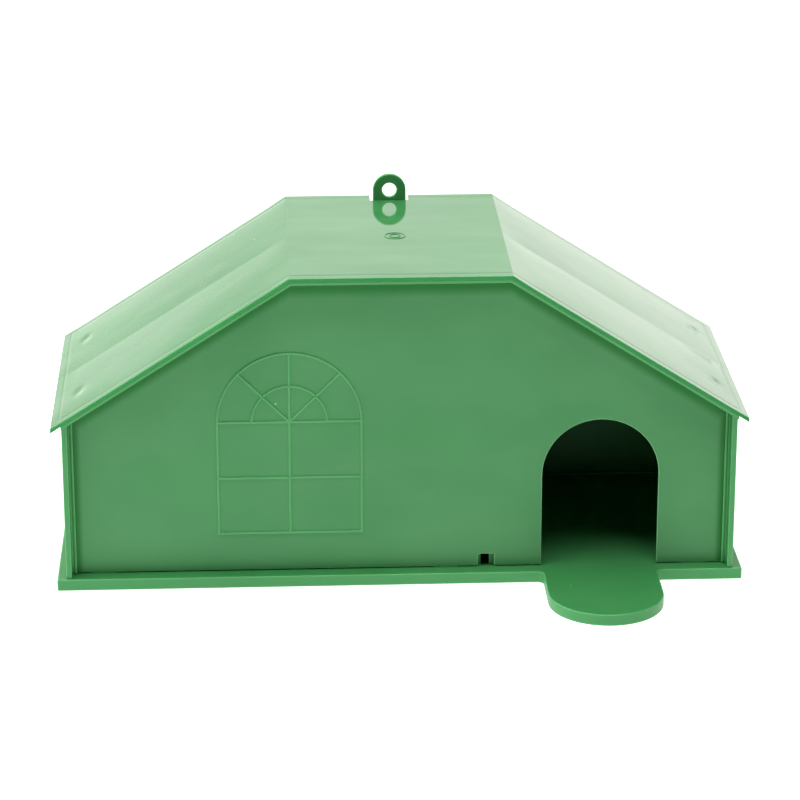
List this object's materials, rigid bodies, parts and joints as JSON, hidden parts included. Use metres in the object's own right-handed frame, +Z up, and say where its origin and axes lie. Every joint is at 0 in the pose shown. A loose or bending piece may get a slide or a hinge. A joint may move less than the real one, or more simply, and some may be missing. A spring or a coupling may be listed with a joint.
{
  "type": "rodent bait station",
  "caption": "House-shaped plastic bait box: gabled shell with an arched doorway and porch, lift-off three-facet roof, hanging tab, inner baffle and a tray with bait blocks on lift-out rods.",
  "frame": {"origin": "centre of the bounding box, on the surface the station stands on", "axes": "+X to the right seen from the doorway side, -Y towards the porch, +Z up"},
  "size_m": [0.301, 0.1736, 0.154],
  "materials": {
    "green_plastic": "injection-moulded polypropylene, glossy roof, satin walls",
    "steel_wire": "drawn galvanised wire",
    "bait_wax": "matt wax with grain"
  },
  "bodies": {
    "house": {"base_plate": "green_plastic", "left_end_wall": "green_plastic", "right_end_wall": "green_plastic", "front_panel": "green_plastic", "back_panel": "green_plastic", "baffle_wall": "green_plastic"},
    "roof_cover": {"roof": "green_plastic"},
    "tray": {"bait_tray": "green_plastic"},
    "front_rod": {"bait_rod_front": "steel_wire", "bait_block_front_1": "bait_wax", "bait_block_front_2": "bait_wax", "bait_block_front_3": "bait_wax", "bait_block_front_4": "bait_wax"},
    "rear_rod": {"bait_rod_rear": "steel_wire", "bait_block_rear_1": "bait_wax", "bait_block_rear_2": "bait_wax", "bait_block_rear_3": "bait_wax", "bait_block_rear_4": "bait_wax"}
  },
  "joints": [
    {"name": "roof_lift", "type": "slide", "parent": "house", "child": "roof_cover", "axis": [0, 0, 1], "range_m": [0, 0.15]},
    {"name": "tray_lift", "type": "slide", "parent": "house", "child": "tray", "axis": [0, 0, 1], "range_m": [0, 0.025]},
    {"name": "front_rod_lift", "type": "slide", "parent": "tray", "child": "front_rod", "axis": [0, 0, 1], "range_m": [0, 0.018]},
    {"name": "rear_rod_lift", "type": "slide", "parent": "tray", "child": "rear_rod", "axis": [0, 0, 1], "range_m": [0, 0.018]}
  ]
}
